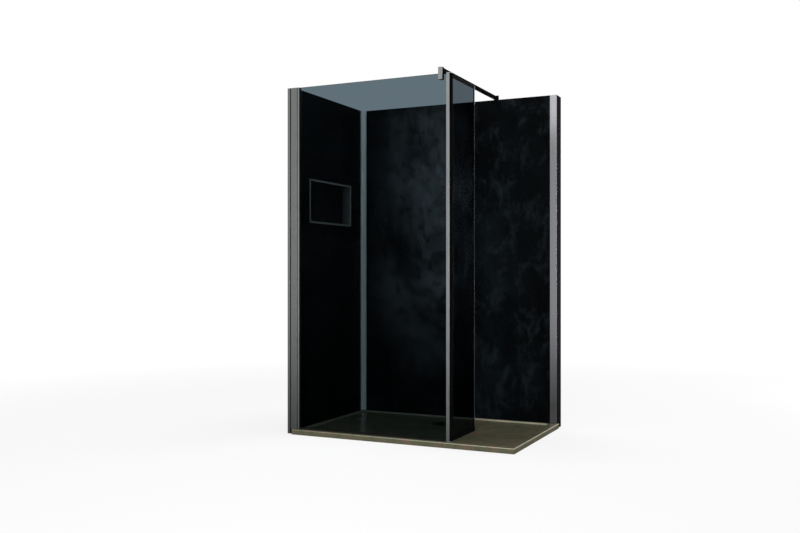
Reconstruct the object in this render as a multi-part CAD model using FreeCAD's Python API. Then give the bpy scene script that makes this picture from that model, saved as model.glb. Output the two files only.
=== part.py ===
import FreeCAD, Part
import os

from FreeCAD import Vector

# Walk-in shower enclosure for a corner, in millimetres. +Z is up, +Y goes to the back wall and
# +X to the open side where one walks in. The origin is the centre of the tray's underside.

# Tray
tray_length = 1400.0
tray_depth = 900.0
tray_height = 30.0
tray_corner_radius = 8.0
tray_edge_radius = 6.0
side_rim_width = 40.0
front_rim_width = 51.0
recess_depth = 8.0
recess_slope_width = 12.0
recess_corner_radius = 48.0
floor_fall = 6.0
overrun = 5.0

# Waste in the tray floor
waste_from_back = 258.0
waste_right_of_middle = 22.0
waste_pit_radius = 71.0
waste_pit_depth = 7.0
waste_apron_width = 12.0
waste_hole_radius = 46.0
waste_sleeve_gap = 2.0
waste_bore_radius = 40.0
waste_flange_gap = 0.5
waste_flange_thickness = 2.5
waste_flange_wall = 1.5
waste_flange_below_floor = 0.5
waste_gasket_radius = 62.0
waste_gasket_thickness = 1.5
strainer_seat_width = 1.6
strainer_seat_height = 8.0
strainer_thickness = 2.5
strainer_gap = 0.4
strainer_hole_radius = 3.0
strainer_ring_share = 0.62
strainer_inner_ring_share = 0.38
strainer_hole_count = 14
strainer_inner_hole_count = 8
strainer_boss_radius = 8.0
cover_radius = 59.0
cover_edge_thickness = 3.0
cover_dome_height = 2.5
cover_lift_above_floor = 1.5
cover_edge_radius = 1.0

# Wall panels and the void behind them
panel_height = 2050.0
panel_thickness = 6.0
panel_foot_gap = 3.0
left_panel_inset = 26.0
back_panel_inset = 25.0
left_void_depth = 58.0
back_void_depth = 92.0

# Carrier behind the panels
stud_width = 40.0
stud_wall = 2.0
stud_tray_gap = 1.0
stud_end_margin = 40.0
back_stud_count = 4
rail_height = 60.0
rail_height_shares = (0.08, 0.34, 0.96)
back_middle_rail_share = 0.62
wall_bolt_height_shares = (0.18, 0.88)
wall_bolt_radius = 4.0
bolt_access_radius = 9.0
carrier_screw_radius = 2.5
carrier_screw_head_radius = 5.0
carrier_screw_head_depth = 4.0
carrier_screw_tip = 6.0
screw_gap = 0.2
top_cover_thickness = 1.5

# Niche in the left panel
niche_front_margin = 158.0
niche_back_margin = 181.0
niche_height = 249.0
niche_depth = 57.0
niche_wall = 2.0
niche_sill_above_rim = 1261.0
niche_flange_width = 8.0
niche_flange_thickness = 1.0
niche_gasket_thickness = 0.8
niche_frame_width = 12.0
niche_frame_thickness = 2.0
niche_stud_gap = 5.0

# Trims on the panels
trim_thickness = 2.0
corner_flange_back = 30.0
corner_flange_left = 25.0
back_end_face_width = 43.0
back_end_leg = 12.0
back_end_from_tray_edge = 9.0
closure_thickness = 8.0
left_end_face_width = 42.5
left_end_overlap = 2.5
left_end_groove = 7.0
left_end_gasket_lap = 5.0
left_end_gasket_depth = 6.0
left_end_leg = 8.0

# Front glass and the profiles that hold it
screen_above_panel = 6.0
screen_setback = 22.0
profile_depth = 28.0
glass_thickness = 8.0
glass_foot_gap = 6.0
glass_end_gap = 1.0
glazing_gasket_thickness = 3.0
gasket_lip = 3.0
section_wall = 2.0
wall_profile_leg = 13.0
adjusting_reach = 16.4
adjusting_face_width = 8.0
glass_pocket_depth = 8.4
slide_gap = 0.2
profile_cap_height = 3.0
profile_screw_radius = 2.0
profile_screw_head_radius = 4.0
profile_screw_head_height = 2.5
seal_width = 12.0
seal_lip_height = 5.0
seal_end_gap = 0.5
cap_glass_gap = 0.3

# Hinge post and its pivots
post_x = 298.0
post_width = 19.0
post_pocket_depth = 11.0
pivot_plate_thickness = 3.0
pivot_radius = 5.0
pivot_post_gap = 0.3
pin_radius = 2.5
pin_reach = 12.0
pin_fit = 0.02
bush_radius = 3.6
bush_fit = 0.05
bush_flange_radius = 4.7
bush_flange_thickness = 1.0
bush_top_gap = 0.3
plate_screw_radius = 1.5
plate_screw_length = 14.0
plate_screw_head_radius = 3.0
plate_screw_head_depth = 1.5

# Return panel that turns on the post
return_reach = 363.0
return_glass_thickness = 6.0
return_top_drop = 6.0
return_stem_length = 14.0
return_pocket_depth = 8.0
return_gasket_thickness = 0.6
return_rail_height = 25.0
return_rail_gap = 6.0
return_rail_pocket = 14.0
return_rail_play = 0.3
return_glass_seat_gap = 0.8
wiper_gap = 1.5
wiper_lip_thickness = 3.0
wiper_root_width = 5.0
wiper_root_height = 5.0
rail_cap_thickness = 2.0
edge_guard_depth = 10.0
edge_guard_wall = 1.0

# Clamp over the front glass and the support bar
clamp_x = 262.5
clamp_width = 25.0
clamp_depth = 25.0
clamp_plate_thickness = 4.0
clamp_below_glass_top = 35.0
clamp_top_above_bar = 2.0
clamp_crown_gap = 0.5
clamp_pad_thickness = 1.0
clamp_pad_margin = 2.0
clamp_peg_radius = 2.0
clamp_peg_length = 5.0
clamp_peg_drop = 12.0
set_screw_radius = 2.9
set_screw_spread = 13.0
set_screw_socket_radius = 1.5
set_screw_socket_depth = 3.0
bar_size = 20.0
bar_wall = 1.5
bar_above_glass = 12.0
spigot_gap = 0.2
spigot_length = 25.0
spigot_wall = 2.0
bar_flange_width = 31.0
bar_flange_height = 36.0
bar_flange_thickness = 8.0
bar_anchor_radius = 2.75
grub_screw_radius = 2.0
grub_screw_length = 5.0

# Planes and heights that the pieces share
left_x = -tray_length / 2
right_x = tray_length / 2
front_y = -tray_depth / 2
back_y = tray_depth / 2
rim_z = tray_height
panel_foot_z = rim_z + panel_foot_gap
panel_top_z = rim_z + panel_height
screen_top_z = panel_top_z + screen_above_panel

left_face_x = left_x + left_panel_inset
left_panel_back_x = left_face_x - panel_thickness
left_wall_x = left_panel_back_x - left_void_depth
left_stud_x = left_x - stud_tray_gap
back_face_y = back_y - back_panel_inset
back_panel_back_y = back_face_y + panel_thickness
back_wall_y = back_panel_back_y + back_void_depth
back_stud_y = back_y + stud_tray_gap
stud_top_z = panel_top_z - top_cover_thickness

screen_y = front_y + screen_setback
strip_back_y = screen_y + trim_thickness
glass_y = screen_y + profile_depth / 2
profile_back_y = screen_y + profile_depth
glass_front_y = glass_y - glass_thickness / 2
glass_back_y = glass_y + glass_thickness / 2
glass_foot_z = rim_z + glass_foot_gap
pocket_half = glass_thickness / 2 + glazing_gasket_thickness
profile_top_z = screen_top_z - profile_cap_height

left_strip_x = left_face_x + left_end_overlap
left_strip_far_x = left_strip_x - left_end_face_width
trim_x = left_strip_far_x - left_end_groove
adjusting_x = left_face_x + adjusting_reach
wall_pocket_x = adjusting_x - glass_pocket_depth
glass_left_x = wall_pocket_x + glass_end_gap

post_right_x = post_x + post_width
post_pocket_x = post_x + post_pocket_depth
glass_right_x = post_pocket_x - glass_end_gap
post_foot_z = rim_z + pivot_plate_thickness
post_top_z = screen_top_z - pivot_plate_thickness
pivot_x = post_right_x + pivot_post_gap + pivot_radius
port_x = (post_pocket_x + post_right_x) / 2
port_offset_y = (pocket_half + profile_depth / 2) / 2

return_foot_z = post_foot_z + bush_flange_thickness
return_head_z = post_top_z - bush_flange_thickness
return_stem_y = glass_y + return_stem_length
return_end_y = glass_y + return_reach
return_pocket_y = return_stem_y - return_pocket_depth
return_rail_z = rim_z + return_rail_gap
return_rail_top_z = return_rail_z + return_rail_height
return_glass_z = return_rail_top_z - return_rail_pocket + return_glass_seat_gap
return_top_z = screen_top_z - return_top_drop
return_half = return_glass_thickness / 2

bar_low_z = screen_top_z + bar_above_glass
bar_z = bar_low_z + bar_size / 2
bar_top_z = bar_low_z + bar_size
clamp_low_z = screen_top_z - clamp_below_glass_top
clamp_top_z = bar_top_z + clamp_top_above_bar
clamp_body_y = glass_y - clamp_depth / 2
clamp_back_y = glass_y + clamp_depth / 2
clamp_half = glass_thickness / 2 + clamp_pad_thickness
bar_end_y = back_wall_y - bar_flange_thickness
spigot_half = bar_size / 2 - bar_wall - spigot_gap

waste_x = waste_right_of_middle
waste_y = back_y - waste_from_back
floor_edge_z = rim_z - recess_depth
floor_low_z = floor_edge_z - floor_fall
waste_pit_z = floor_low_z - waste_pit_depth
waste_flange_z = waste_pit_z + waste_gasket_thickness

niche_front_y = strip_back_y + niche_front_margin
niche_back_y = back_face_y - niche_back_margin
niche_low_z = rim_z + niche_sill_above_rim
niche_high_z = niche_low_z + niche_height
niche_flange_x = left_face_x + niche_gasket_thickness
niche_frame_x = niche_flange_x + niche_flange_thickness
niche_end_x = left_face_x - niche_depth

carrier_end_x = right_x - back_end_from_tray_edge
closure_x = carrier_end_x - closure_thickness
back_panel_end_x = closure_x - trim_thickness


def block(x0, x1, y0, y1, z0, z1):
    return Part.makeBox(x1 - x0, y1 - y0, z1 - z0, Vector(x0, y0, z0))


def upright(radius, x, y, z0, z1):
    return Part.makeCylinder(radius, z1 - z0, Vector(x, y, z0))


def rod_x(radius, x0, x1, y, z):
    return Part.makeCylinder(radius, x1 - x0, Vector(x0, y, z), Vector(1, 0, 0))


def rod_y(radius, x, y0, y1, z):
    return Part.makeCylinder(radius, y1 - y0, Vector(x, y0, z), Vector(0, 1, 0))


def joined(shapes):
    first = shapes[0]
    if len(shapes) > 1:
        first = first.fuse(shapes[1:])
    return first.removeSplitter()


def at_share(low, high, share):
    return low + (high - low) * share


def rounded_rectangle(x0, x1, y0, y1, radius, z):
    """A closed level outline with four round corners."""
    diagonal = radius * (1 - 0.5**0.5)
    corners = (
        (x1 - radius, y0, x1 - diagonal, y0 + diagonal, x1, y0 + radius),
        (x1, y1 - radius, x1 - diagonal, y1 - diagonal, x1 - radius, y1),
        (x0 + radius, y1, x0 + diagonal, y1 - diagonal, x0, y1 - radius),
        (x0, y0 + radius, x0 + diagonal, y0 + diagonal, x0 + radius, y0),
    )
    edges = []
    for index, (ax, ay, bx, by, cx, cy) in enumerate(corners):
        following = corners[(index + 1) % len(corners)]
        arc = Part.Arc(Vector(ax, ay, z), Vector(bx, by, z), Vector(cx, cy, z))
        side = Part.LineSegment(Vector(cx, cy, z), Vector(following[0], following[1], z))
        edges.append(arc.toShape())
        edges.append(side.toShape())
    return Part.Wire(edges)


# Heights of the horizontal rails, and the places of the studs
niche_rail_heights = (
    niche_low_z - niche_wall - rail_height / 2,
    niche_high_z + niche_wall + rail_height / 2,
)
common_rail_heights = [at_share(rim_z, panel_top_z, share) for share in rail_height_shares]
left_rail_heights = sorted(common_rail_heights + list(niche_rail_heights))
back_rail_heights = sorted(
    common_rail_heights + [at_share(rim_z, panel_top_z, back_middle_rail_share)]
)
bolt_heights = [at_share(rim_z, panel_top_z, share) for share in wall_bolt_height_shares]
first_back_stud_x = left_panel_back_x + stud_end_margin
last_back_stud_x = back_panel_end_x - stud_end_margin
back_stud_places = [
    at_share(first_back_stud_x, last_back_stud_x, index / (back_stud_count - 1))
    for index in range(back_stud_count)
]
niche_clear = niche_wall + niche_stud_gap + stud_width / 2
left_stud_places = (
    strip_back_y + left_end_leg + stud_tray_gap + stud_width / 2,
    niche_front_y - niche_clear,
    niche_back_y + niche_clear,
    back_face_y - stud_end_margin,
)


def shower_tray():
    slab = block(left_x, right_x, front_y, back_y, 0, tray_height)
    corners = [edge for edge in slab.Edges if abs(edge.tangentAt(edge.FirstParameter).z) > 0.5]
    slab = slab.makeFillet(tray_corner_radius, corners)
    top_edges = [edge for edge in slab.Edges if edge.BoundBox.ZMin > tray_height / 2]
    slab = slab.makeFillet(tray_edge_radius, top_edges)

    x0 = left_x + side_rim_width
    x1 = right_x - side_rim_width
    y0 = front_y + front_rim_width
    y1 = back_y - side_rim_width
    spread = overrun * recess_slope_width / recess_depth
    inset = recess_slope_width
    mouth = rounded_rectangle(
        x0 - spread, x1 + spread, y0 - spread, y1 + spread, recess_corner_radius + spread,
        rim_z + overrun,
    )
    floor_radius = recess_corner_radius - inset
    floor = rounded_rectangle(
        x0 + inset, x1 - inset, y0 + inset, y1 - inset, floor_radius, floor_edge_z
    )
    recess = Part.makeLoft([mouth, floor], True, True)

    apron = waste_pit_radius + waste_apron_width
    lowest = rounded_rectangle(
        waste_x - apron, waste_x + apron, waste_y - apron, waste_y + apron, floor_radius,
        floor_low_z,
    )
    fall = Part.makeLoft([floor, lowest], True, True)
    pit = upright(waste_pit_radius, waste_x, waste_y, waste_pit_z, rim_z)
    hole = upright(waste_hole_radius, waste_x, waste_y, -overrun, rim_z)
    return slab.cut([recess, fall, pit, hole])


def waste_gasket():
    ring = upright(waste_gasket_radius, waste_x, waste_y, waste_pit_z, waste_flange_z)
    return ring.cut(upright(waste_hole_radius, waste_x, waste_y, 0, rim_z))


def waste_flange():
    """A dish that lines the pit, with the sleeve that goes down through the tray."""
    radius = waste_pit_radius - waste_flange_gap
    top = floor_low_z - waste_flange_below_floor
    bottom = waste_flange_z + waste_flange_thickness
    dish = upright(radius, waste_x, waste_y, waste_flange_z, top)
    sleeve = upright(waste_hole_radius - waste_sleeve_gap, waste_x, waste_y, 0, bottom)
    hollow = upright(radius - waste_flange_wall, waste_x, waste_y, bottom, rim_z)
    bore = upright(waste_bore_radius, waste_x, waste_y, -overrun, rim_z)
    seat_radius = waste_bore_radius + strainer_seat_width
    seat = upright(seat_radius, waste_x, waste_y, strainer_seat_height, rim_z)
    return joined([dish, sleeve]).cut([hollow, bore, seat])


def ring_of_holes(radius, count, z0, z1):
    """Upright holes, evenly spaced on a circle round the waste's axis."""
    holes = []
    for index in range(count):
        spoke = Vector(radius, 0, 0)
        turn = FreeCAD.Rotation(Vector(0, 0, 1), 360 * index / count)
        place = turn.multVec(spoke)
        holes.append(
            upright(strainer_hole_radius, waste_x + place.x, waste_y + place.y, z0, z1)
        )
    return holes


def hair_strainer():
    radius = waste_bore_radius + strainer_seat_width - strainer_gap
    top = strainer_seat_height + strainer_thickness
    disc = upright(radius, waste_x, waste_y, strainer_seat_height, top)
    boss = upright(strainer_boss_radius, waste_x, waste_y, top, floor_low_z + cover_lift_above_floor)
    outer = ring_of_holes(radius * (1 + strainer_ring_share) / 2, strainer_hole_count, 0, rim_z)
    inner = ring_of_holes(
        radius * (strainer_inner_ring_share + strainer_ring_share) / 2,
        strainer_inner_hole_count, 0, rim_z,
    )
    return joined([disc, boss]).cut(outer + inner)


def waste_cover():
    """A round plate with a low dome, turned about the waste's axis."""
    z0 = floor_low_z + cover_lift_above_floor
    z1 = z0 + cover_edge_thickness
    sphere_radius = (cover_radius**2 + cover_dome_height**2) / (2 * cover_dome_height)
    plate = upright(cover_radius, waste_x, waste_y, z0, z1 + cover_dome_height)
    centre = Vector(waste_x, waste_y, z1 + cover_dome_height - sphere_radius)
    dome = Part.makeSphere(sphere_radius, centre)
    cover = plate.common(dome)
    rims = [edge for edge in cover.Edges if abs(edge.BoundBox.ZMax - z1) < cover_edge_radius]
    return cover.makeFillet(cover_edge_radius, rims)


def left_panel():
    panel = block(
        left_panel_back_x, left_face_x, strip_back_y, back_face_y, panel_foot_z, panel_top_z
    )
    opening = block(
        left_wall_x, adjusting_x, niche_front_y - niche_wall, niche_back_y + niche_wall,
        niche_low_z - niche_wall, niche_high_z + niche_wall,
    )
    return panel.cut([opening] + profile_screw_holes())


def back_panel():
    return block(
        left_panel_back_x, back_panel_end_x, back_face_y, back_panel_back_y, panel_foot_z,
        panel_top_z,
    )


def left_foot_seal():
    return block(
        left_panel_back_x, left_face_x, strip_back_y, back_face_y, rim_z, panel_foot_z
    )


def back_foot_seal():
    return block(
        left_panel_back_x, back_panel_end_x, back_face_y, back_panel_back_y, rim_z, panel_foot_z
    )


def niche_box():
    y0 = niche_front_y - niche_wall
    y1 = niche_back_y + niche_wall
    z0 = niche_low_z - niche_wall
    z1 = niche_high_z + niche_wall
    shell = block(niche_end_x - niche_wall, niche_frame_x, y0, y1, z0, z1)
    flange = block(
        niche_flange_x, niche_frame_x, y0 - niche_flange_width, y1 + niche_flange_width,
        z0 - niche_flange_width, z1 + niche_flange_width,
    )
    hollow = block(
        niche_end_x, adjusting_x, niche_front_y, niche_back_y, niche_low_z, niche_high_z
    )
    return joined([shell, flange]).cut(hollow)


def niche_gasket():
    reach = niche_wall + niche_flange_width
    ring = block(
        left_face_x, niche_flange_x, niche_front_y - reach, niche_back_y + reach,
        niche_low_z - reach, niche_high_z + reach,
    )
    inside = block(
        left_wall_x, adjusting_x, niche_front_y - niche_wall, niche_back_y + niche_wall,
        niche_low_z - niche_wall, niche_high_z + niche_wall,
    )
    return ring.cut(inside)


def niche_frame():
    border = niche_frame_width
    frame = block(
        niche_frame_x, niche_frame_x + niche_frame_thickness, niche_front_y - border,
        niche_back_y + border, niche_low_z - border, niche_high_z + border,
    )
    inside = block(
        left_wall_x, adjusting_x, niche_front_y, niche_back_y, niche_low_z, niche_high_z
    )
    return frame.cut(inside)


def inner_corner_profile():
    along_back = block(
        left_face_x, left_face_x + corner_flange_back, back_face_y - trim_thickness, back_face_y,
        rim_z, panel_top_z,
    )
    along_left = block(
        left_face_x, left_face_x + trim_thickness, back_face_y - corner_flange_left, back_face_y,
        rim_z, panel_top_z,
    )
    return joined([along_back, along_left])


def back_end_profile():
    face = block(
        carrier_end_x - back_end_face_width, carrier_end_x, back_face_y - trim_thickness,
        back_face_y, rim_z, panel_top_z,
    )
    leg = block(
        back_panel_end_x, closure_x, back_face_y, back_face_y + back_end_leg, rim_z, panel_top_z
    )
    return joined([face, leg])


def back_end_closure():
    board = block(closure_x, carrier_end_x, back_face_y, back_wall_y, 0, panel_top_z)
    notch = block(closure_x, carrier_end_x, back_face_y, back_stud_y, 0, rim_z)
    return board.cut(notch)


def left_end_profile():
    face = block(left_strip_far_x, left_strip_x, screen_y, strip_back_y, rim_z, screen_top_z)
    leg = block(
        left_strip_far_x, left_strip_far_x + trim_thickness, strip_back_y,
        strip_back_y + left_end_leg, rim_z, screen_top_z,
    )
    return joined([face, leg])


def left_end_trim():
    face = block(left_wall_x, trim_x, screen_y, strip_back_y, 0, screen_top_z)
    leg = block(
        left_wall_x, left_wall_x + trim_thickness, strip_back_y, strip_back_y + left_end_leg, 0,
        screen_top_z,
    )
    return joined([face, leg])


def left_end_gasket():
    return block(
        trim_x - left_end_gasket_lap, left_strip_far_x, strip_back_y,
        strip_back_y + left_end_gasket_depth, 0, screen_top_z,
    )


def screw_x(x_head, x_tip, y, z, gap):
    """A countersunk carrier screw that points to -X, grown by gap to make its hole."""
    head = Part.makeCone(
        carrier_screw_radius + gap, carrier_screw_head_radius + gap, carrier_screw_head_depth,
        Vector(x_head - carrier_screw_head_depth, y, z), Vector(1, 0, 0),
    )
    return joined([head, rod_x(carrier_screw_radius + gap, x_tip, x_head, y, z)])


def screw_y(y_head, y_tip, x, z, gap):
    """A countersunk carrier screw that points to +Y, grown by gap to make its hole."""
    head = Part.makeCone(
        carrier_screw_head_radius + gap, carrier_screw_radius + gap, carrier_screw_head_depth,
        Vector(x, y_head, z), Vector(0, 1, 0),
    )
    return joined([head, rod_y(carrier_screw_radius + gap, x, y_head, y_tip, z)])


def left_carrier_screws(gap):
    tip = left_stud_x - stud_wall - carrier_screw_tip
    return [
        screw_x(left_panel_back_x, tip, y, z, gap)
        for y in left_stud_places
        for z in left_rail_heights
    ]


def back_carrier_screws(gap):
    tip = back_stud_y + stud_wall + carrier_screw_tip
    return [
        screw_y(back_panel_back_y, tip, x, z, gap)
        for x in back_stud_places
        for z in back_rail_heights
    ]


def left_studs():
    holes = left_carrier_screws(screw_gap)
    studs = []
    for y in left_stud_places:
        y0 = y - stud_width / 2
        y1 = y + stud_width / 2
        tube = block(left_wall_x, left_stud_x, y0, y1, 0, stud_top_z)
        inside = block(
            left_wall_x + stud_wall, left_stud_x - stud_wall, y0 + stud_wall, y1 - stud_wall,
            -overrun, stud_top_z + overrun,
        )
        bolts = [
            rod_x(wall_bolt_radius, left_wall_x - overrun, left_stud_x - stud_wall, y, z)
            for z in bolt_heights
        ]
        access = [
            rod_x(bolt_access_radius, left_stud_x - stud_wall, left_stud_x + overrun, y, z)
            for z in bolt_heights
        ]
        studs.append(tube.cut([inside] + bolts + access + holes))
    return Part.makeCompound(studs)


def back_studs():
    holes = back_carrier_screws(screw_gap)
    studs = []
    for x in back_stud_places:
        x0 = x - stud_width / 2
        x1 = x + stud_width / 2
        tube = block(x0, x1, back_stud_y, back_wall_y, 0, stud_top_z)
        inside = block(
            x0 + stud_wall, x1 - stud_wall, back_stud_y + stud_wall, back_wall_y - stud_wall,
            -overrun, stud_top_z + overrun,
        )
        bolts = [
            rod_y(wall_bolt_radius, x, back_stud_y + stud_wall, back_wall_y + overrun, z)
            for z in bolt_heights
        ]
        access = [
            rod_y(bolt_access_radius, x, back_stud_y - overrun, back_stud_y + stud_wall, z)
            for z in bolt_heights
        ]
        studs.append(tube.cut([inside] + bolts + access + holes))
    return Part.makeCompound(studs)


def left_rails():
    holes = left_carrier_screws(screw_gap) + profile_screw_holes()
    rails = []
    for z in left_rail_heights:
        z0 = z - rail_height / 2
        z1 = z + rail_height / 2
        rail = block(left_stud_x, left_panel_back_x, strip_back_y, back_face_y, z0, z1)
        rails.append(rail.cut(holes))
    return Part.makeCompound(rails)


def back_rails():
    holes = back_carrier_screws(screw_gap)
    rails = []
    for z in back_rail_heights:
        z0 = z - rail_height / 2
        z1 = z + rail_height / 2
        rail = block(left_panel_back_x, back_panel_end_x, back_panel_back_y, back_stud_y, z0, z1)
        leg = block(
            back_panel_end_x, carrier_end_x, back_face_y, back_face_y + back_end_leg, z0, z1
        )
        rails.append(rail.cut([leg] + holes))
    return Part.makeCompound(rails)


def left_top_cover():
    cover = block(
        left_wall_x, left_panel_back_x, strip_back_y, back_wall_y, stud_top_z, panel_top_z
    )
    return cover.cut([left_end_profile(), left_end_trim(), left_end_gasket()])


def back_top_cover():
    return block(
        left_panel_back_x, back_panel_end_x, back_panel_back_y, back_wall_y, stud_top_z,
        panel_top_z,
    )


def both_sides(low, high):
    """Ranges of Y on both sides of the front glass's middle plane, from low to high away from it."""
    return ((glass_y - high, glass_y - low), (glass_y + low, glass_y + high))


def profile_screw_tip():
    return left_stud_x + section_wall


def profile_screw_holes():
    radius = profile_screw_radius + screw_gap
    return [
        rod_x(radius, profile_screw_tip(), adjusting_x, glass_y, z) for z in left_rail_heights
    ]


def wall_profile():
    half = profile_depth / 2 - trim_thickness
    base_x = left_face_x + section_wall
    base = block(left_face_x, base_x, glass_y - half, glass_y + half, rim_z, profile_top_z)
    legs = [
        block(left_face_x, left_face_x + wall_profile_leg, y0, y1, rim_z, profile_top_z)
        for y0, y1 in both_sides(half - section_wall, half)
    ]
    return joined([base] + legs).cut(profile_screw_holes())


def wall_profile_screws():
    base_x = left_face_x + section_wall
    screws = []
    for z in left_rail_heights:
        shank = rod_x(profile_screw_radius, profile_screw_tip(), base_x, glass_y, z)
        head_x = base_x + profile_screw_head_height
        head = rod_x(profile_screw_head_radius, base_x, head_x, glass_y, z)
        screws.append(joined([shank, head]))
    return Part.makeCompound(screws)


def adjusting_profile():
    half = profile_depth / 2
    outer = both_sides(half - trim_thickness + slide_gap, half)
    face_x = adjusting_x - adjusting_face_width
    pieces = [block(face_x, adjusting_x, y0, y1, rim_z, profile_top_z) for y0, y1 in outer]
    for y0, y1 in both_sides(pocket_half, half):
        pieces.append(block(adjusting_x - section_wall, adjusting_x, y0, y1, rim_z, profile_top_z))
    pocket_back_x = wall_pocket_x - section_wall
    for y0, y1 in both_sides(pocket_half, pocket_half + section_wall):
        pieces.append(block(pocket_back_x, adjusting_x, y0, y1, rim_z, profile_top_z))
    pieces.append(
        block(
            pocket_back_x, wall_pocket_x, glass_y - pocket_half, glass_y + pocket_half, rim_z,
            profile_top_z,
        )
    )
    return joined(pieces)


def wall_profile_cap():
    cap = block(
        left_strip_x, adjusting_x, screen_y, profile_back_y, profile_top_z, screen_top_z
    )
    slot = block(
        glass_left_x - cap_glass_gap, adjusting_x, glass_front_y - cap_glass_gap,
        glass_back_y + cap_glass_gap, rim_z, screen_top_z,
    )
    return cap.cut(slot)


def glazing_gaskets(x0, x1):
    low = glass_thickness / 2
    z0 = glass_foot_z + seal_lip_height + seal_end_gap
    strips = [block(x0, x1, y0, y1, z0, profile_top_z) for y0, y1 in both_sides(low, pocket_half)]
    return Part.makeCompound(strips)


def wall_glazing_gaskets():
    return glazing_gaskets(wall_pocket_x, adjusting_x + gasket_lip)


def post_glazing_gaskets():
    return glazing_gaskets(post_x - gasket_lip, post_pocket_x)


def front_glass():
    return block(
        glass_left_x, glass_right_x, glass_front_y, glass_back_y, glass_foot_z, screen_top_z
    )


def front_bottom_seal():
    x0 = adjusting_x + seal_end_gap
    x1 = post_x - seal_end_gap
    half = seal_width / 2
    seal = block(x0, x1, glass_y - half, glass_y + half, rim_z, glass_foot_z + seal_lip_height)
    slot = block(x0, x1, glass_front_y, glass_back_y, glass_foot_z, panel_top_z)
    return seal.cut(slot)


def post_ports(radius, z0, z1):
    """Rods on the two screw ports of the post's section."""
    return [
        upright(radius, port_x, glass_y - port_offset_y, z0, z1),
        upright(radius, port_x, glass_y + port_offset_y, z0, z1),
    ]


def hinge_post():
    half = profile_depth / 2
    body = block(post_x, post_right_x, screen_y, profile_back_y, post_foot_z, post_top_z)
    cuts = [
        block(
            post_x, post_pocket_x, glass_y - pocket_half, glass_y + pocket_half, rim_z,
            screen_top_z,
        ),
        block(
            post_pocket_x + section_wall, post_right_x - section_wall, glass_y - pocket_half,
            glass_y + pocket_half, rim_z, screen_top_z,
        ),
    ]
    for y0, y1 in both_sides(pocket_half + section_wall, half - section_wall):
        cuts.append(
            block(
                post_x + section_wall, post_pocket_x - section_wall, y0, y1, rim_z, screen_top_z
            )
        )
    cuts += post_ports(plate_screw_radius + screw_gap, rim_z, screen_top_z)
    return body.cut(cuts)


def pivot_plate(z0, z1):
    on_post = block(post_x, post_right_x, screen_y, profile_back_y, z0, z1)
    arm = block(post_right_x, pivot_x, glass_y - pivot_radius, glass_y + pivot_radius, z0, z1)
    nose = upright(pivot_radius, pivot_x, glass_y, z0, z1)
    holes = post_ports(plate_screw_radius + screw_gap, z0, z1)
    holes.append(upright(pin_radius + pin_fit, pivot_x, glass_y, z0, z1))
    return joined([on_post, arm, nose]).cut(holes)


def lower_pivot_plate():
    recess_z = rim_z + plate_screw_head_depth
    heads = post_ports(plate_screw_head_radius + screw_gap, rim_z, recess_z)
    return pivot_plate(rim_z, post_foot_z).cut(heads)


def upper_pivot_plate():
    recess_z = screen_top_z - plate_screw_head_depth
    heads = post_ports(plate_screw_head_radius + screw_gap, recess_z, screen_top_z)
    notch = block(
        post_x, glass_right_x + cap_glass_gap, glass_front_y - cap_glass_gap,
        glass_back_y + cap_glass_gap, post_top_z, screen_top_z,
    )
    return pivot_plate(post_top_z, screen_top_z).cut(heads + [notch])


def pivot_plate_screws():
    low_heads = post_ports(plate_screw_head_radius, rim_z, rim_z + plate_screw_head_depth)
    low_shanks = post_ports(plate_screw_radius, rim_z, rim_z + plate_screw_length)
    high_heads = post_ports(
        plate_screw_head_radius, screen_top_z - plate_screw_head_depth, screen_top_z
    )
    high_shanks = post_ports(plate_screw_radius, screen_top_z - plate_screw_length, screen_top_z)
    pairs = list(zip(low_heads, low_shanks)) + list(zip(high_heads, high_shanks))
    return Part.makeCompound([joined(list(pair)) for pair in pairs])


def pivot_pins():
    low = upright(pin_radius, pivot_x, glass_y, rim_z, post_foot_z + pin_reach)
    high = upright(pin_radius, pivot_x, glass_y, post_top_z - pin_reach, screen_top_z)
    return Part.makeCompound([low, high])


def pivot_bushes():
    bore = upright(pin_radius + bush_fit, pivot_x, glass_y, rim_z, screen_top_z)
    low_sleeve = upright(bush_radius, pivot_x, glass_y, post_foot_z, return_foot_z + pin_reach)
    low_flange = upright(bush_flange_radius, pivot_x, glass_y, post_foot_z, return_foot_z)
    head_z = post_top_z - bush_top_gap
    high_sleeve = upright(bush_radius, pivot_x, glass_y, return_head_z - pin_reach, head_z)
    high_flange = upright(bush_flange_radius, pivot_x, glass_y, return_head_z, head_z)
    return Part.makeCompound(
        [joined([low_sleeve, low_flange]).cut(bore), joined([high_sleeve, high_flange]).cut(bore)]
    )


def return_block(half_width, y0, y1, z0, z1):
    """A block about the return panel's middle plane."""
    return block(pivot_x - half_width, pivot_x + half_width, y0, y1, z0, z1)


def return_strips(low, high, y0, y1, z0, z1):
    """Two equal blocks, one on each side of the return panel's middle plane."""
    return [
        block(pivot_x - high, pivot_x - low, y0, y1, z0, z1),
        block(pivot_x + low, pivot_x + high, y0, y1, z0, z1),
    ]


def return_profile():
    nose = upright(pivot_radius, pivot_x, glass_y, return_foot_z, return_head_z)
    stem = return_block(pivot_radius, glass_y, return_stem_y, return_foot_z, return_head_z)
    pocket = return_block(
        return_half + return_gasket_thickness, return_pocket_y, return_stem_y, rim_z, screen_top_z
    )
    bore = upright(bush_radius + pin_fit, pivot_x, glass_y, rim_z, screen_top_z)
    return joined([nose, stem]).cut([pocket, bore])


def return_gaskets():
    strips = return_strips(
        return_half, return_half + return_gasket_thickness, return_pocket_y,
        return_stem_y + return_gasket_thickness, return_rail_top_z, return_top_z,
    )
    return Part.makeCompound(strips)


def return_glass():
    return return_block(
        return_half, return_pocket_y + glass_end_gap, return_end_y - edge_guard_wall,
        return_glass_z, return_top_z,
    )


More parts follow.
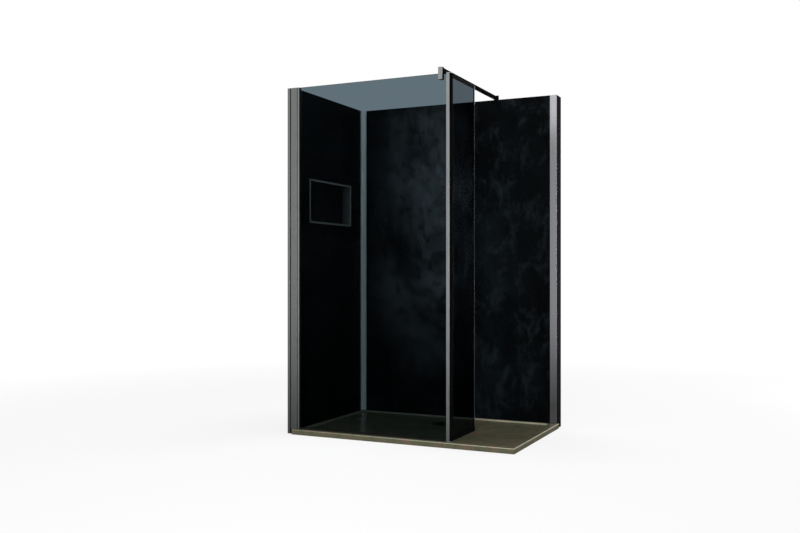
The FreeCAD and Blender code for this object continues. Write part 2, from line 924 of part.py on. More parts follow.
def return_edge_guard():
    y0 = return_end_y - edge_guard_depth
    guard = return_block(
        return_half + edge_guard_wall, y0, return_end_y, return_rail_top_z, return_top_z
    )
    slot = return_block(
        return_half, y0, return_end_y - edge_guard_wall, return_rail_top_z, return_top_z
    )
    return guard.cut(slot)


def return_bottom_rail():
    rail = return_block(
        pivot_radius, return_stem_y, return_end_y, return_rail_z, return_rail_top_z
    )
    pocket = return_block(
        return_half + return_rail_play, return_stem_y, return_end_y,
        return_rail_top_z - return_rail_pocket, return_rail_top_z,
    )
    groove = return_block(
        wiper_root_width / 2, return_stem_y, return_end_y, return_rail_z,
        return_rail_z + wiper_root_height,
    )
    return rail.cut([pocket, groove])


def return_wiper_seal():
    root = return_block(
        wiper_root_width / 2, return_stem_y, return_end_y, return_rail_z,
        return_rail_z + wiper_root_height,
    )
    lip = return_block(
        wiper_lip_thickness / 2, return_stem_y, return_end_y, rim_z + wiper_gap, return_rail_z
    )
    return joined([root, lip])


def return_rail_cap():
    return return_block(
        pivot_radius, return_end_y, return_end_y + rail_cap_thickness, return_rail_z,
        return_rail_top_z,
    )


def clamp_block(half_width, y0, y1, z0, z1):
    """A block about the support bar's middle plane."""
    return block(clamp_x - half_width, clamp_x + half_width, y0, y1, z0, z1)


def clamp_pegs(radius, length):
    """The two pegs that hold the clamp's front plate in its body."""
    heights = (clamp_low_z + clamp_peg_drop, clamp_top_z - clamp_peg_drop)
    return [rod_y(radius, clamp_x, clamp_body_y, clamp_body_y + length, z) for z in heights]


def clamp_front_plate():
    y0 = clamp_body_y - clamp_plate_thickness
    plate = clamp_block(clamp_width / 2, y0, clamp_body_y, clamp_low_z, clamp_top_z)
    return joined([plate] + clamp_pegs(clamp_peg_radius, clamp_peg_length))


def set_screw_z():
    return (clamp_low_z + screen_top_z) / 2


def set_screw_rods(radius, y0, y1):
    return [
        rod_y(radius, clamp_x + side * set_screw_spread / 2, y0, y1, set_screw_z())
        for side in (-1, 1)
    ]


def spigot_hollow(y0, y1):
    half = spigot_half - spigot_wall
    return clamp_block(half, y0, y1, bar_z - half, bar_z + half)


def grub_screw_rod(radius, y, z0, z1):
    return upright(radius, clamp_x, y, z0, z1)


def front_grub_y():
    return clamp_back_y + spigot_length / 2


def back_grub_y():
    return bar_end_y - spigot_length / 2


def grub_screws():
    z1 = bar_low_z + grub_screw_length
    return Part.makeCompound(
        [
            grub_screw_rod(grub_screw_radius, front_grub_y(), bar_low_z, z1),
            grub_screw_rod(grub_screw_radius, back_grub_y(), bar_low_z, z1),
        ]
    )


def clamp_body():
    body = clamp_block(clamp_width / 2, clamp_body_y, clamp_back_y, clamp_low_z, clamp_top_z)
    spigot = clamp_block(
        spigot_half, clamp_back_y, clamp_back_y + spigot_length, bar_z - spigot_half,
        bar_z + spigot_half,
    )
    slot = clamp_block(
        clamp_width, glass_y - clamp_half, glass_y + clamp_half, rim_z,
        screen_top_z + clamp_crown_gap,
    )
    hollow = spigot_hollow(clamp_back_y, clamp_back_y + spigot_length)
    cuts = [slot, hollow]
    cuts += clamp_pegs(clamp_peg_radius + screw_gap, clamp_peg_length + screw_gap)
    cuts += set_screw_rods(set_screw_radius + screw_gap, glass_y, clamp_back_y)
    grub = grub_screw_rod(grub_screw_radius + screw_gap, front_grub_y(), bar_low_z, bar_z)
    return joined([body, spigot]).cut(cuts + [grub])


def clamp_pads():
    z0 = clamp_low_z + clamp_pad_margin
    z1 = screen_top_z - clamp_pad_margin
    half = clamp_width / 2 - clamp_pad_margin
    return Part.makeCompound(
        [
            clamp_block(half, y0, y1, z0, z1)
            for y0, y1 in both_sides(glass_thickness / 2, clamp_half)
        ]
    )


def clamp_set_screws():
    rods = set_screw_rods(set_screw_radius, glass_y + clamp_half, clamp_back_y)
    sockets = set_screw_rods(
        set_screw_socket_radius, clamp_back_y - set_screw_socket_depth, clamp_back_y
    )
    return Part.makeCompound([rod.cut(socket) for rod, socket in zip(rods, sockets)])


def support_bar():
    tube = clamp_block(bar_size / 2, clamp_back_y, bar_end_y, bar_low_z, bar_top_z)
    half = bar_size / 2 - bar_wall
    inside = clamp_block(half, clamp_back_y, bar_end_y, bar_z - half, bar_z + half)
    radius = grub_screw_radius + screw_gap
    holes = [
        grub_screw_rod(radius, front_grub_y(), bar_low_z, bar_z),
        grub_screw_rod(radius, back_grub_y(), bar_low_z, bar_z),
    ]
    return tube.cut([inside] + holes)


def bar_wall_flange():
    plate = clamp_block(
        bar_flange_width / 2, bar_end_y, back_wall_y, bar_z - bar_flange_height / 2,
        bar_z + bar_flange_height / 2,
    )
    spigot = clamp_block(
        spigot_half, bar_end_y - spigot_length, bar_end_y, bar_z - spigot_half,
        bar_z + spigot_half,
    )
    hollow = spigot_hollow(bar_end_y - spigot_length, bar_end_y)
    anchor = rod_y(bar_anchor_radius, clamp_x, bar_end_y, back_wall_y, bar_z)
    grub = grub_screw_rod(grub_screw_radius + screw_gap, back_grub_y(), bar_low_z, bar_z)
    return joined([plate, spigot]).cut([hollow, anchor, grub])


def left_rail_screws():
    return Part.makeCompound(left_carrier_screws(0))


def back_rail_screws():
    return Part.makeCompound(back_carrier_screws(0))


pieces = (
    shower_tray,
    waste_gasket,
    waste_flange,
    hair_strainer,
    waste_cover,
    left_panel,
    back_panel,
    left_foot_seal,
    back_foot_seal,
    niche_box,
    niche_gasket,
    niche_frame,
    inner_corner_profile,
    back_end_profile,
    back_end_closure,
    left_end_profile,
    left_end_trim,
    left_end_gasket,
    left_studs,
    back_studs,
    left_rails,
    back_rails,
    left_rail_screws,
    back_rail_screws,
    left_top_cover,
    back_top_cover,
    wall_profile,
    wall_profile_screws,
    adjusting_profile,
    wall_profile_cap,
    wall_glazing_gaskets,
    post_glazing_gaskets,
    front_glass,
    front_bottom_seal,
    hinge_post,
    lower_pivot_plate,
    upper_pivot_plate,
    pivot_plate_screws,
    pivot_pins,
    pivot_bushes,
    return_profile,
    return_gaskets,
    return_glass,
    return_edge_guard,
    return_bottom_rail,
    return_wiper_seal,
    return_rail_cap,
    clamp_front_plate,
    clamp_body,
    clamp_pads,
    clamp_set_screws,
    support_bar,
    bar_wall_flange,
    grub_screws,
)

os.makedirs("parts", exist_ok=True)
for piece in pieces:
    shape = piece()
    shape.exportStep(os.path.join("parts", piece.__name__ + ".step"))
    print(piece.__name__, len(shape.Solids), "solids, valid", shape.isValid())
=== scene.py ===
import math

import bpy
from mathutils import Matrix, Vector


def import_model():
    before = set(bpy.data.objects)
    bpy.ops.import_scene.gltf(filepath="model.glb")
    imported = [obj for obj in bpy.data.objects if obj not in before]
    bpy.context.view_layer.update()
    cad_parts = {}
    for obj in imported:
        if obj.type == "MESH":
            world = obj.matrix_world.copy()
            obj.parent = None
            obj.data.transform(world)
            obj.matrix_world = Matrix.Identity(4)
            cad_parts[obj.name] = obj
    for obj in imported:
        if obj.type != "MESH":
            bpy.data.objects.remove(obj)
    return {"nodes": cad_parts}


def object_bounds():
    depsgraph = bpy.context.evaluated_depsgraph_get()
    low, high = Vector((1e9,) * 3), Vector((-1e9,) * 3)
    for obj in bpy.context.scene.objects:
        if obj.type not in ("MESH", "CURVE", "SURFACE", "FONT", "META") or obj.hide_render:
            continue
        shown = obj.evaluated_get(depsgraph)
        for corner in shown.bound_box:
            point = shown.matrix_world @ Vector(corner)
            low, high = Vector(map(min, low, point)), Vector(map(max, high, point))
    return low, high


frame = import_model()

cad_low, cad_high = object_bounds()
nodes = frame["nodes"]
MM = 0.001

# The camera stands about a metre up and looks level to the back left. Its place is in metres, the
# turn in degrees, the lens and its sensor in millimetres, and the horizon in pixels of the picture
camera_place = (2.2067, -5.0678, 0.9757)
camera_turn = 25.292
camera_lens = 40.56
camera_sensor = 36.0
level_look = 90.0
horizon_below_middle = 5.51
picture_width = 800.0

# The tray's right end, as far from the middle as its left end
tray_end = cad_high.x

# Along X in metres, the niche's back wall and its mouth
niche_back = -0.73
niche_mouth = -0.67

# The zone of the glasses in metres, in which their clouds grow to full strength and fade again
clouds_begin_x = -0.2
clouds_full_x = 0.28
clouds_begin_z = 0.35
clouds_full_z = 1.05
clouds_fade_z = 1.85
clouds_end_z = 1.95

# Most of a noise lies in its usual range, and two-toned colours change from low to high noise
usual_noise = (0.3, 0.7)
low_noise = 0.35
high_noise = 0.65


def grey(tone):
    return (tone, tone, tone)


def shaded(tone, share):
    return tuple(share * part for part in tone)


black = grey(0.0)
white = grey(1.0)

# The colours of the stone, and of the painted highlight and painted shade on its edges and slopes
moss_stone = (0.09, 0.096, 0.056)
olive_stone = (0.108, 0.106, 0.067)
brown_stone = (0.136, 0.105, 0.073)
vein_shade = (0.72, 0.72, 0.7)
painted_highlight_tone = (3.6, 3.7, 4.2)
painted_slope_shade = grey(0.3)

# The colours of the wall panels
deep_slate = (0.0006, 0.001, 0.0012)
middle_slate = (0.0018, 0.0027, 0.0033)
pale_slate = (0.005, 0.0075, 0.0088)
torn_slate = (0.009, 0.0125, 0.0145)
slate_fleck = (0.006, 0.007, 0.0075)

# The colours of the satin metals. Strip, groove, slider, trim and post are lighter and darker
# copies of one satin aluminium, painted for the light each part gets; the groove is darker as
# painted shade in its recess
strip_tone = (0.172, 0.181, 0.178)
groove_painted_shade_tone = (0.07, 0.072, 0.07)
slider_tone = (0.25, 0.26, 0.255)
trim_tone = (0.216, 0.22, 0.232)
# Painted light: the corner trim and the niche frame are pale and little metallic, for the light they
# show behind the glass
corner_painted_light_tone = (0.74, 0.71, 0.68)
niche_frame_painted_light_tone = (0.34, 0.32, 0.3)
post_tone = (0.245, 0.252, 0.255)
steel_tone = (0.5, 0.5, 0.49)

# The colours of the black finishes
coat_tone = (0.003, 0.003, 0.0032)
board_tone = (0.003, 0.003, 0.0033)
cover_tone = grey(0.006)
seal_tone = grey(0.005)
plastic_tone = grey(0.007)
dark_lining = (0.008, 0.009, 0.009)
# The painted light on the niche lining's side wall
painted_light_lining = (0.13, 0.12, 0.11)

# The colours of the zinc and of the wood
dark_zinc = (0.36, 0.37, 0.38)
pale_zinc = (0.52, 0.53, 0.54)
dark_birch = (0.36, 0.235, 0.125)
middle_birch = (0.47, 0.32, 0.18)
pale_birch = (0.55, 0.4, 0.24)

# The colours of the glasses, and of the lamp light that passes them
front_tint = (0.118, 0.161, 0.187)
front_shade = (0.97, 0.98, 0.98)
return_tint = (0.067, 0.089, 0.107)
return_shade = (0.3, 0.33, 0.34)
guard_tint = (0.86, 0.88, 0.9)


def calculate(tree, operation, first, second):
    node = tree.nodes.new("ShaderNodeMath")
    node.operation = operation
    tree.links.new(first, node.inputs[0])
    tree.links.new(second, node.inputs[1])
    return node.outputs[0]


def map_range(tree, value, source, result):
    """Maps value from the range source onto the range result, and stops at its ends."""
    node = tree.nodes.new("ShaderNodeMapRange")
    node.clamp = True
    ends = ("From Min", "From Max", "To Min", "To Max")
    for end, number in zip(ends, (*source, *result)):
        node.inputs[end].default_value = number
    tree.links.new(value, node.inputs["Value"])
    return node.outputs["Result"]


def mix_shaders(tree, factor, first, second):
    """Mixes two shaders and shows the result on the surface."""
    node = tree.nodes.new("ShaderNodeMixShader")
    tree.links.new(factor, node.inputs["Fac"])
    tree.links.new(first, node.inputs[1])
    tree.links.new(second, node.inputs[2])
    tree.links.new(node.outputs["Shader"], tree.nodes["Material Output"].inputs["Surface"])


class Nodes:
    """The node tree of one material, with short calls for what the materials here need."""

    def __init__(self, name):
        self.material = bpy.data.materials.new(name)
        self.material.use_nodes = True
        self.tree = self.material.node_tree
        self.shader = self.tree.nodes["Principled BSDF"]
        coordinates = self.add("ShaderNodeTexCoord")
        self.place = coordinates.outputs["Object"]
        self.normal = coordinates.outputs["Normal"]

    def add(self, kind, **settings):
        node = self.tree.nodes.new(kind)
        for key, value in settings.items():
            setattr(node, key, value)
        return node

    def link(self, source, target):
        self.tree.links.new(source, target)

    def set(self, **values):
        """Sets sockets of the shader, whose names have underscores here for their spaces."""
        for key, value in values.items():
            self.shader.inputs[key.replace("_", " ")].default_value = value

    def feed(self, source, name):
        self.link(source, self.shader.inputs[name])

    def split(self, vector):
        """The X, Y and Z of vector, as the outputs of a node."""
        node = self.add("ShaderNodeSeparateXYZ")
        self.link(vector, node.inputs["Vector"])
        return node.outputs

    def noise(self, scale, detail=4.0, roughness=0.55, distortion=0.0, stretch=(1, 1, 1)):
        """A noise value, where scale is in blobs per metre, times stretch along each axis."""
        mapping = self.add("ShaderNodeMapping")
        mapping.inputs["Scale"].default_value = stretch
        self.link(self.place, mapping.inputs["Vector"])
        texture = self.add("ShaderNodeTexNoise")
        texture.inputs["Scale"].default_value = scale
        texture.inputs["Detail"].default_value = detail
        texture.inputs["Roughness"].default_value = roughness
        texture.inputs["Distortion"].default_value = distortion
        self.link(mapping.outputs["Vector"], texture.inputs["Vector"])
        return texture.outputs["Fac"]

    def ramp(self, value, source, result):
        return map_range(self.tree, value, source, result)

    def colours(self, value, stops):
        """Maps value onto colours, given as pairs of a position and a colour."""
        node = self.add("ShaderNodeValToRGB")
        ramp = node.color_ramp
        while len(ramp.elements) < len(stops):
            ramp.elements.new(1.0)
        for element, (position, colour) in zip(ramp.elements, stops):
            element.position = position
            element.color = (*colour, 1.0)
        self.link(value, node.inputs["Fac"])
        return node.outputs["Color"]

    def mix(self, factor, first, second, blend="MIX"):
        """Mixes two colours, each given as an output or as numbers."""
        node = self.add("ShaderNodeMix", data_type="RGBA", blend_type=blend)
        sockets = [socket for socket in node.inputs if socket.enabled]
        for socket, source in zip(sockets, (factor, first, second)):
            if hasattr(source, "is_linked"):
                self.link(source, socket)
            elif isinstance(source, (int, float)):
                socket.default_value = source
            else:
                socket.default_value = (*source, 1.0)
        return next(socket for socket in node.outputs if socket.enabled)

    def multiply(self, first, second):
        return self.mix(1.0, first, second, blend="MULTIPLY")

    def times(self, first, second):
        return calculate(self.tree, "MULTIPLY", first, second)

    def sum(self, first, second, weight):
        """First, plus second times weight."""
        node = self.add("ShaderNodeMath", operation="MULTIPLY_ADD")
        self.link(second, node.inputs[0])
        node.inputs[1].default_value = weight
        self.link(first, node.inputs[2])
        return node.outputs[0]

    def roughen(self, value, smooth, rough, source=usual_noise):
        """Takes the roughness from smooth to rough while value runs through source."""
        self.feed(self.ramp(value, source, (smooth, rough)), "Roughness")

    def bump(self, height, strength, distance):
        node = self.add("ShaderNodeBump")
        node.inputs["Strength"].default_value = strength
        node.inputs["Distance"].default_value = distance
        self.link(height, node.inputs["Height"])
        self.feed(node.outputs["Normal"], "Normal")


def stone_resin():
    """Cast mineral resin, olive grey and veined. Its edges and slopes get a painted highlight,
    stronger toward the open side, and painted shade where they face left.
    """
    made = Nodes("stone_resin")
    cloud = made.noise(3.5, detail=5.0)
    patch = made.noise(9.0, detail=5.0, roughness=0.6, distortion=1.2)
    vein = made.noise(7.0, detail=6.0, roughness=0.6, distortion=1.8)
    grain = made.noise(260.0, detail=3.0)
    colour = made.colours(patch, ((0.36, moss_stone), (0.5, olive_stone), (0.62, brown_stone)))
    line = made.colours(vein, ((0.485, white), (0.5, vein_shade), (0.515, white)))
    speck = made.colours(grain, ((low_noise, grey(0.85)), (high_noise, grey(1.1))))
    # Painted light: edges and slopes are lighter as a painted highlight, stronger toward the open
    # side, and darker as painted shade where they face left
    facing = made.split(made.normal)
    sloping = made.colours(
        facing["Z"], ((0.2, black), (0.4, white), (0.93, white), (0.985, black))
    )
    highlight_toward_open_side = made.ramp(made.split(made.place)["X"], (-tray_end, tray_end), (0.25, 1.0))
    painted_highlight = made.mix(highlight_toward_open_side, white, painted_highlight_tone)
    turned = made.ramp(facing["X"], (-0.5, -0.25), (0.0, 1.0))
    edge = made.mix(sloping, white, made.mix(turned, painted_slope_shade, painted_highlight))
    painted_stone = made.multiply(made.multiply(colour, line), edge)
    made.feed(made.multiply(painted_stone, speck), "Base Color")
    made.roughen(cloud, smooth=0.16, rough=0.26)
    relief = made.noise(45.0, detail=5.0, roughness=0.6, distortion=0.4)
    made.bump(made.sum(relief, grain, weight=0.3), strength=0.08, distance=0.4 * MM)
    made.set(Specular_IOR_Level=0.03)
    return made.material


def wall_panel():
    """Near-black slate laminate, with bluish clouds, torn streaks and small flecks."""
    made = Nodes("wall_panel")
    cloud = made.noise(2.2, detail=7.0, roughness=0.62, distortion=0.5, stretch=(1, 1, 0.6))
    streak = made.noise(7.0, detail=9.0, roughness=0.74, distortion=0.3, stretch=(1, 1, 0.6))
    fleck = made.noise(38.0, detail=4.0, roughness=0.7, distortion=0.8, stretch=(1, 1, 0.5))
    base = made.colours(cloud, ((0.36, deep_slate), (0.52, middle_slate), (0.68, pale_slate)))
    torn = made.colours(streak, ((0.5, black), (0.7, torn_slate)))
    spots = made.colours(fleck, ((0.64, black), (0.74, slate_fleck)))
    colour = made.mix(1.0, base, torn, blend="ADD")
    made.feed(made.mix(1.0, colour, spots, blend="ADD"), "Base Color")
    made.roughen(streak, smooth=0.34, rough=0.5, source=(0.35, 0.7))
    made.bump(made.sum(streak, fleck, weight=0.4), strength=0.1, distance=0.5 * MM)
    made.set(Specular_IOR_Level=0.015)
    return made.material


def satin_metal(name, tone, roughness=0.27, grain=(900, 900, 6), metallic=1.0):
    """Satin metal, drawn in the direction in which grain has its smallest number."""
    made = Nodes(name)
    lines = made.noise(1.0, detail=3.0, roughness=0.6, stretch=grain)
    cloud = made.noise(5.0, detail=3.0)
    drawn = made.colours(lines, ((low_noise, shaded(tone, 0.93)), (high_noise, shaded(tone, 1.06))))
    made.feed(drawn, "Base Color")
    uneven = made.sum(lines, cloud, weight=0.5)
    made.roughen(uneven, smooth=roughness - 0.04, rough=roughness + 0.06, source=(0.5, 1.0))
    made.bump(lines, strength=0.06, distance=0.1 * MM)
    made.set(Metallic=metallic)
    return made.material


def black_coat(name, tone, roughness=0.5, gloss=0.08):
    """Black powder coat, with a fine orange-peel relief."""
    made = Nodes(name)
    peel = made.noise(420.0, detail=2.0)
    cloud = made.noise(8.0, detail=3.0)
    coat = made.colours(cloud, ((low_noise, shaded(tone, 0.85)), (high_noise, shaded(tone, 1.15))))
    made.feed(coat, "Base Color")
    made.roughen(cloud, smooth=roughness - 0.04, rough=roughness + 0.06)
    made.bump(peel, strength=0.1, distance=0.12 * MM)
    made.set(Specular_IOR_Level=gloss)
    return made.material


def lined_niche():
    """Black lining, with painted light on its side wall toward the back, which fades into painted
    shade with depth.
    """
    made = Nodes("niche_lining")
    # Painted light on the side wall that faces the front, fading into painted shade deeper in the
    # niche
    side = made.ramp(made.split(made.normal)["Y"], (-0.9, -0.5), (1.0, 0.0))
    depth = made.ramp(made.split(made.place)["X"], (niche_back, niche_mouth), (0.3, 1.0))
    tone = made.colours(made.times(side, depth), ((0.0, dark_lining), (1.0, painted_light_lining)))
    cloud = made.noise(30.0, detail=4.0)
    uneven = made.colours(cloud, ((0.3, grey(0.85)), (0.7, grey(1.15))))
    made.feed(made.multiply(tone, uneven), "Base Color")
    made.roughen(cloud, smooth=0.38, rough=0.5)
    made.bump(made.noise(420.0, detail=2.0), strength=0.1, distance=0.12 * MM)
    made.set(Specular_IOR_Level=0.05)
    return made.material


def smoked_glass(name, tint, shade, haze, flakes):
    """Smoked safety glass with faint torn clouds. Lamp light that passes it gets the shade."""
    made = Nodes(name)
    made.set(Base_Color=(*tint, 1.0), Roughness=0.0, IOR=1.04)
    cloud = made.noise(2.9, detail=6.0, roughness=0.6, distortion=0.3, stretch=(1, 1, 0.8))
    torn = made.noise(flakes, detail=5.0, roughness=0.6, distortion=0.4, stretch=(1, 1, 0.8))
    place = made.split(made.place)
    along = made.ramp(place["X"], (clouds_begin_x, clouds_full_x), (0.05, 1.0))
    foot = made.ramp(place["Z"], (clouds_begin_z, clouds_full_z), (0.04, 1.0))
    head = made.ramp(place["Z"], (clouds_fade_z, clouds_end_z), (1.0, 0.1))
    zone = made.times(along, made.times(foot, head))
    clouded = made.ramp(cloud, (0.38, 0.64), (0.12, 1.0))
    flaked = made.ramp(torn, (0.36, 0.66), (0.3, 1.0))
    share = made.times(made.times(clouded, flaked), zone)
    made.feed(made.ramp(share, (0.0, 1.0), (1.0, 1.0 - haze)), "Transmission Weight")
    passed = made.add("ShaderNodeBsdfTransparent")
    passed.inputs["Color"].default_value = (*shade, 1.0)
    to_lamp = made.add("ShaderNodeLightPath").outputs["Is Shadow Ray"]
    mix_shaders(made.tree, to_lamp, made.shader.outputs["BSDF"], passed.outputs["BSDF"])
    return made.material


def clear_plastic():
    """The clear guard on the free edge of the return panel's glass."""
    made = Nodes("clear_plastic")
    made.roughen(made.noise(60.0, detail=2.0), smooth=0.02, rough=0.08)
    made.set(Base_Color=(*guard_tint, 1.0), Transmission_Weight=0.96, IOR=1.12)
    made.set(Specular_IOR_Level=0.3)
    return made.material


def rubber(name, tone):
    """Matt black rubber and plastic, a little uneven."""
    made = Nodes(name)
    cloud = made.noise(35.0, detail=3.0)
    dull = made.colours(cloud, ((low_noise, shaded(tone, 0.8)), (high_noise, shaded(tone, 1.3))))
    made.feed(dull, "Base Color")
    made.roughen(cloud, smooth=0.55, rough=0.68)
    made.set(Specular_IOR_Level=0.12)
    return made.material


def galvanised_steel():
    """Zinc spangle in flat cells of slightly different grey."""
    made = Nodes("galvanised_steel")
    cells = made.add("ShaderNodeTexVoronoi")
    cells.inputs["Scale"].default_value = 110.0
    made.link(made.place, cells.inputs["Vector"])
    brightness = made.add("ShaderNodeRGBToBW")
    made.link(cells.outputs["Color"], brightness.inputs["Color"])
    spangle = brightness.outputs["Val"]
    made.feed(made.colours(spangle, ((0.1, dark_zinc), (0.9, pale_zinc))), "Base Color")
    made.roughen(spangle, smooth=0.38, rough=0.55, source=(0.1, 0.9))
    made.set(Metallic=0.85)
    return made.material


def carrier_wood():
    """Birch battens, with thin lines of grain along their length."""
    made = Nodes("carrier_wood")
    grain = made.noise(1.0, detail=6.0, roughness=0.65, distortion=0.6, stretch=(14, 14, 170))
    wide = made.noise(2.5, detail=3.0)
    wood = made.colours(grain, ((0.3, dark_birch), (0.55, middle_birch), (0.75, pale_birch)))
    shade = made.colours(wide, ((0.3, grey(0.86)), (0.7, grey(1.08))))
    made.feed(made.multiply(wood, shade), "Base Color")
    made.roughen(grain, smooth=0.5, rough=0.66)
    made.bump(grain, strength=0.25, distance=0.3 * MM)
    return made.material


# Lighter and darker copies of one satin aluminium, painted for the light each part gets; the
# groove's is painted shade
metal_strip = satin_metal("satin_aluminium_strip", strip_tone)
metal_groove = satin_metal("satin_aluminium_groove", groove_painted_shade_tone)
metal_slider = satin_metal("satin_aluminium_slider", slider_tone)
metal_trim = satin_metal("satin_aluminium_trim", trim_tone, roughness=0.15)
# Painted light: pale and little metallic, for the light behind the glass
metal_corner = satin_metal("satin_aluminium_corner", corner_painted_light_tone, metallic=0.15)
metal_post = satin_metal("satin_aluminium_post", post_tone)
metal_niche = satin_metal(
    "satin_aluminium_niche", niche_frame_painted_light_tone, grain=(900, 6, 900), metallic=0.15
)
black_metal = black_coat("black_coat", coat_tone, gloss=0.0015)
black_board = black_coat("black_board", board_tone, gloss=0.006)
cover_metal = black_coat("waste_cover_finish", cover_tone, roughness=0.42)
niche_lining = lined_niche()
steel = satin_metal("stainless_steel", steel_tone, roughness=0.28, grain=(300, 300, 300))
seal = rubber("seal_rubber", seal_tone)
plastic = rubber("black_plastic", plastic_tone)
zinc = galvanised_steel()
wood = carrier_wood()
tray_stone = stone_resin()
panel = wall_panel()
clear = clear_plastic()
front_glass = smoked_glass(
    "smoked_glass_front", front_tint, front_shade, haze=0.135, flakes=21.0
)
return_glass = smoked_glass(
    "smoked_glass_return", return_tint, return_shade, haze=0.13, flakes=7.0
)

finishes = {
    "shower_tray": tray_stone,
    "waste_gasket": seal,
    "waste_flange": plastic,
    "hair_strainer": plastic,
    "waste_cover": cover_metal,
    "left_panel": panel,
    "back_panel": panel,
    "left_foot_seal": seal,
    "back_foot_seal": seal,
    "niche_box": niche_lining,
    "niche_gasket": seal,
    "niche_frame": metal_niche,
    "inner_corner_profile": metal_corner,
    "back_end_profile": metal_trim,
    "back_end_closure": black_board,
    "left_end_profile": metal_strip,
    "left_end_trim": metal_strip,
    "left_end_gasket": seal,
    "left_studs": zinc,
    "back_studs": zinc,
    "left_rails": wood,
    "back_rails": wood,
    "left_rail_screws": steel,
    "back_rail_screws": steel,
    "left_top_cover": black_board,
    "back_top_cover": black_board,
    "wall_profile": metal_groove,
    "wall_profile_screws": steel,
    "adjusting_profile": metal_slider,
    "wall_profile_cap": metal_strip,
    "wall_glazing_gaskets": seal,
    "post_glazing_gaskets": seal,
    "front_glass": front_glass,
    "front_bottom_seal": seal,
    "hinge_post": metal_post,
    "lower_pivot_plate": metal_post,
    "upper_pivot_plate": metal_post,
    "pivot_plate_screws": steel,
    "pivot_pins": steel,
    "pivot_bushes": plastic,
    "return_profile": black_metal,
    "return_gaskets": seal,
    "return_glass": return_glass,
    "return_edge_guard": clear,
    "return_bottom_rail": black_metal,
    "return_wiper_seal": seal,
    "return_rail_cap": plastic,
    "clamp_front_plate": metal_post,
    "clamp_body": black_metal,
    "clamp_pads": seal,
    "clamp_set_screws": steel,
    "support_bar": black_metal,
    "bar_wall_flange": black_metal,
    "grub_screws": steel,
}

for name, finish in finishes.items():
    data = nodes[name].data
    data.materials.clear()
    data.materials.append(finish)

# Widths of the small bevels on the edges, in millimetres
bevels = {
    "inner_corner_profile": 0.4,
    "back_end_profile": 0.5,
    "left_end_profile": 0.5,
    "left_end_trim": 0.5,
    "adjusting_profile": 0.3,
    "wall_profile_cap": 0.4,
    "niche_frame": 0.4,
    "front_glass": 0.8,
    "return_glass": 0.7,
    "hinge_post": 0.6,
    "lower_pivot_plate": 0.4,
    "upper_pivot_plate": 0.4,
    "return_profile": 0.5,
    "return_bottom_rail": 0.6,
    "return_rail_cap": 0.4,
    "clamp_front_plate": 0.7,
    "clamp_body": 0.6,
    "support_bar": 0.3,
    "bar_wall_flange": 1.0,
    "back_end_closure": 0.8,
    "left_studs": 1.5,
    "back_studs": 1.5,
    "left_rails": 0.6,
    "back_rails": 0.6,
}
bevel_steps = 2
sharp_angle = math.radians(40)
weld_reach = 0.001 * MM


def soften_edges(node, width):
    """Rounds the sharp edges of a piece and leaves its shape as it is."""
    piece = nodes[node]
    weld = piece.modifiers.new("weld", "WELD")
    weld.merge_threshold = weld_reach
    bevel = piece.modifiers.new("bevel", "BEVEL")
    bevel.width = width * MM
    bevel.segments = bevel_steps
    bevel.limit_method = "ANGLE"
    bevel.angle_limit = sharp_angle
    bevel.use_clamp_overlap = True
    bevel.harden_normals = True


for node, width in bevels.items():
    soften_edges(node, width)


def put_in_scene(name, data):
    made = bpy.data.objects.new(name, data)
    bpy.context.scene.collection.objects.link(made)
    return made


def seen_rays(tree):
    """One for rays from the camera or through glass, then one for rays off gloss."""
    path = tree.nodes.new("ShaderNodeLightPath")
    direct = calculate(
        tree, "MAXIMUM", path.outputs["Is Camera Ray"], path.outputs["Is Transmission Ray"]
    )
    return direct, path.outputs["Is Glossy Ray"]


# The floor's half side, its gap under the object, its tone in the open, and its painted shade under
# the tray
floor_reach = 30.0
floor_gap = 0.5 * MM
floor_tone = 0.82
under_tray_painted_shade = 0.01

# Distances from the middle of the object: where the floor under the tray ends, where the share of
# plain white in the floor rises to one, and where the floor in mirrors rises to white
drain_edge = (0.4, 0.42)
whitening = (2.5, 4.6)
white_share_near = 0.8
# Close to the object the floor in mirrors is darker: painted shade in reflections
mirror_fade = (0.5, 10.0)
mirrored_painted_shade_near = 0.22

# How strongly the white surroundings light the object
surrounding_light = 0.35


def floor_material():
    """White, with the object's shadow, and with painted shade close to the object in mirrors.

    Under the tray it is painted black, as the shade inside a drain that is looked into through the
    open waste.
    """
    material = bpy.data.materials.new("floor")
    material.use_nodes = True
    tree = material.node_tree
    shader = tree.nodes["Principled BSDF"]
    shader.inputs["Roughness"].default_value = 0.8
    shader.inputs["Specular IOR Level"].default_value = 0.1
    glow = tree.nodes.new("ShaderNodeEmission")
    glow.inputs["Color"].default_value = (*white, 1.0)
    place = tree.nodes.new("ShaderNodeTexCoord")
    distance = tree.nodes.new("ShaderNodeVectorMath")
    distance.operation = "LENGTH"
    tree.links.new(place.outputs["Object"], distance.inputs[0])
    away = distance.outputs["Value"]
    # Painted shade: the floor under the tray is nearly black
    tone = map_range(tree, away, drain_edge, (under_tray_painted_shade, floor_tone))
    tree.links.new(tone, shader.inputs["Base Color"])
    direct, glossy = seen_rays(tree)
    open_floor = map_range(tree, away, drain_edge, (0.0, 1.0))
    whitened = map_range(tree, away, whitening, (white_share_near, 1.0))
    seen = calculate(tree, "MULTIPLY", calculate(tree, "MULTIPLY", direct, open_floor), whitened)
    painted_shade_in_mirrors = map_range(tree, away, mirror_fade, (mirrored_painted_shade_near, 1.0))
    mirrored = calculate(tree, "MULTIPLY", glossy, painted_shade_in_mirrors)
    tree.links.new(calculate(tree, "MAXIMUM", direct, mirrored), glow.inputs["Strength"])
    shown = calculate(tree, "MAXIMUM", seen, glossy)
    mix_shaders(tree, shown, shader.outputs["BSDF"], glow.outputs["Emission"])
    return material


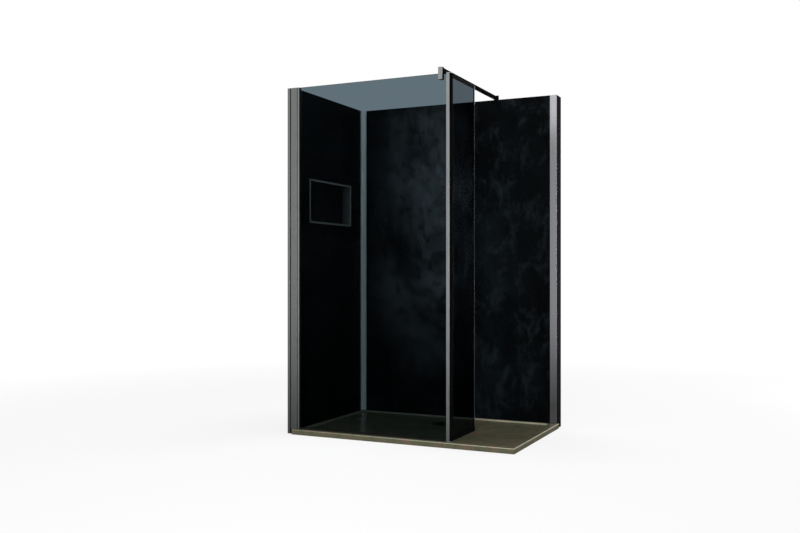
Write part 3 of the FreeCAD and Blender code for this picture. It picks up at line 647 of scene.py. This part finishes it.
def floor():
    """One large square under the object."""
    sides = (-floor_reach, floor_reach)
    corners = [(x, y, 0) for x in sides for y in sides]
    mesh = bpy.data.meshes.new("floor")
    mesh.from_pydata(corners, [], ((0, 2, 3, 1),))
    mesh.materials.append(floor_material())
    made = put_in_scene("floor", mesh)
    made.location.z = cad_low.z - floor_gap


def world():
    """White where it is seen, softer where it lights the object."""
    made = bpy.data.worlds.new("world")
    bpy.context.scene.world = made
    made.use_nodes = True
    tree = made.node_tree
    background = tree.nodes["Background"]
    background.inputs["Color"].default_value = (*white, 1.0)
    direct, glossy = seen_rays(tree)
    shown = calculate(tree, "MAXIMUM", direct, glossy)
    strength = map_range(tree, shown, (0.0, 1.0), (surrounding_light, 1.0))
    tree.links.new(strength, background.inputs["Strength"])


# Places, targets and sizes of the lamps in metres, and their power in watts
lamps = {
    "key": dict(place=(1.5, -5.1, 1.4), target=(0.0, 0.0, 1.0), size=(1.8, 1.8), power=150),
    "top": dict(place=(-0.35, -0.35, 2.9), target=(-0.35, -0.2, 0.0), size=(0.7, 0.7), power=19),
    "back": dict(place=(0.3, 2.1, 6.5), target=(0.2, -0.4, 0.0), size=(3.0, 1.6), power=200),
    "gleam": dict(place=(-0.37, -3.35, 3.05), target=(0.68, 0.42, 2.05), size=(0.4, 1.1), power=2.5),
    "side": dict(place=(3.6, 2.4, 0.5), target=(0.7, 0.0, 0.0), size=(3.2, 0.8), power=50),
}


def lamp(name, place, target, size, power):
    """An area lamp that is seen only in gloss."""
    data = bpy.data.lights.new(name, "AREA")
    data.shape = "RECTANGLE"
    data.size, data.size_y = size
    data.energy = power
    made = put_in_scene(name, data)
    made.location = place
    made.visible_camera = False
    made.visible_transmission = False
    aim = Vector(target) - Vector(place)
    made.rotation_euler = aim.to_track_quat("-Z", "Y").to_euler()


def camera():
    data = bpy.data.cameras.new("camera")
    data.sensor_width = camera_sensor
    data.lens = camera_lens
    data.shift_y = horizon_below_middle / picture_width
    made = put_in_scene("camera", data)
    made.location = camera_place
    made.rotation_euler = (math.radians(level_look), 0, math.radians(camera_turn))
    bpy.context.scene.camera = made


floor()
world()
for name, settings in lamps.items():
    lamp(name, **settings)
camera()
bpy.context.scene.view_settings.view_transform = "Standard"
